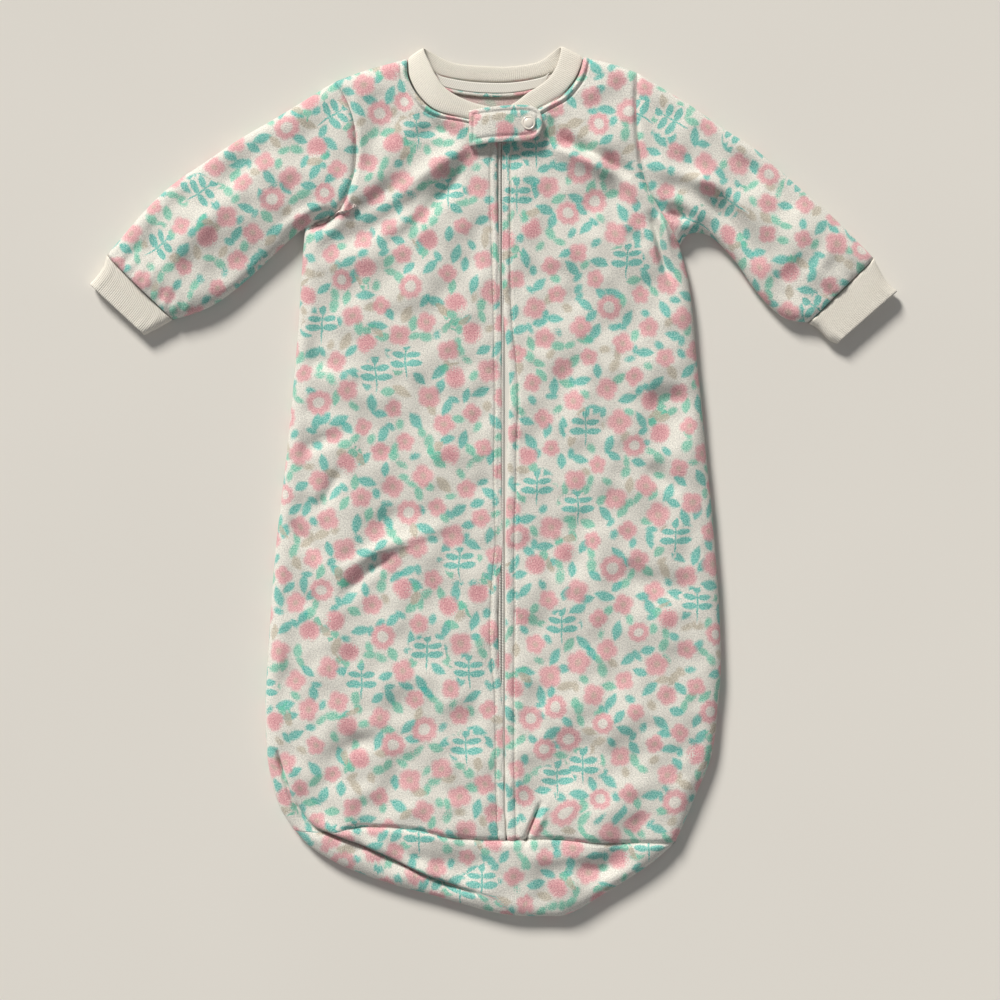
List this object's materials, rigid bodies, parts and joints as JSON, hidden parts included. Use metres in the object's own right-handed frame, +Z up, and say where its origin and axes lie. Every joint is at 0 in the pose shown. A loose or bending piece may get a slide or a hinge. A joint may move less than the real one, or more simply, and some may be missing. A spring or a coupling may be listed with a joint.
{
  "type": "baby sleeping bag",
  "caption": "Long-sleeved baby sleeping bag lying flat on its back, with a full-length front zip, ribbed neck band and cuffs, a snapped tab over the zip's top and a closed base.",
  "frame": {"origin": "centre of the bounding box at the floor, under the middle of the bag", "axes": "+X to the viewer's right with the front up, +Y from the base towards the neck, +Z up out of the floor"},
  "size_m": [0.6164, 0.6634, 0.0251],
  "materials": {
    "print_fabric": "matte",
    "rib_knit": "matte",
    "tape_cloth": "matte",
    "zip_plastic": "satin",
    "slider_paint": "satin",
    "snap_pearl": "gloss"
  },
  "bodies": {
    "bag": {"back_panel": "print_fabric", "front_panel_left": "print_fabric", "front_panel_right": "print_fabric", "base_panel": "print_fabric", "sleeve_left_upper": "print_fabric", "sleeve_right_upper": "print_fabric", "neck_rib": "rib_knit", "neck_tape": "tape_cloth", "zip_tape_left": "tape_cloth", "zip_tape_right": "tape_cloth", "zip_coil_left": "zip_plastic", "zip_coil_right": "zip_plastic", "zip_top_stop_left": "zip_plastic", "zip_top_stop_right": "zip_plastic", "zip_bottom_stop": "zip_plastic", "snap_stud": "snap_pearl", "snap_back_ring": "snap_pearl"},
    "slider": {"slider_body": "slider_paint"},
    "pull": {"slider_pull": "slider_paint"},
    "tab": {"neck_tab": "print_fabric", "neck_tab_lining": "tape_cloth", "snap_cap": "snap_pearl", "snap_socket": "snap_pearl"},
    "left_sleeve": {"sleeve_left": "print_fabric", "cuff_left": "rib_knit"},
    "right_sleeve": {"sleeve_right": "print_fabric", "cuff_right": "rib_knit"}
  },
  "joints": [
    {"name": "zip_slide", "type": "slide", "parent": "bag", "child": "slider", "axis": [0, -1, 0], "range_m": [0, 0.53]},
    {"name": "pull_swing", "type": "hinge", "parent": "slider", "child": "pull", "pos_m": [0.006, 0.2746, 0.01845], "axis": [-1, 0, 0], "range_deg": [0, 110]},
    {"name": "neck_tab_lift", "type": "hinge", "parent": "bag", "child": "tab", "pos_m": [-0.0184, 0.267, 0.0205], "axis": [0, -1, 0], "range_deg": [0, 150]},
    {"name": "sleeve_left_fold", "type": "hinge", "parent": "bag", "child": "left_sleeve", "pos_m": [-0.1503, 0.24, 0.0149], "axis": [0, 1, 0], "range_deg": [0, 150]},
    {"name": "sleeve_right_fold", "type": "hinge", "parent": "bag", "child": "right_sleeve", "pos_m": [0.1504, 0.24, 0.0149], "axis": [0, -1, 0], "range_deg": [0, 150]}
  ],
  "couplings": [
    {"joint": "pull_swing", "follows": "zip_slide", "rad_per_m": 3.3}
  ]
}
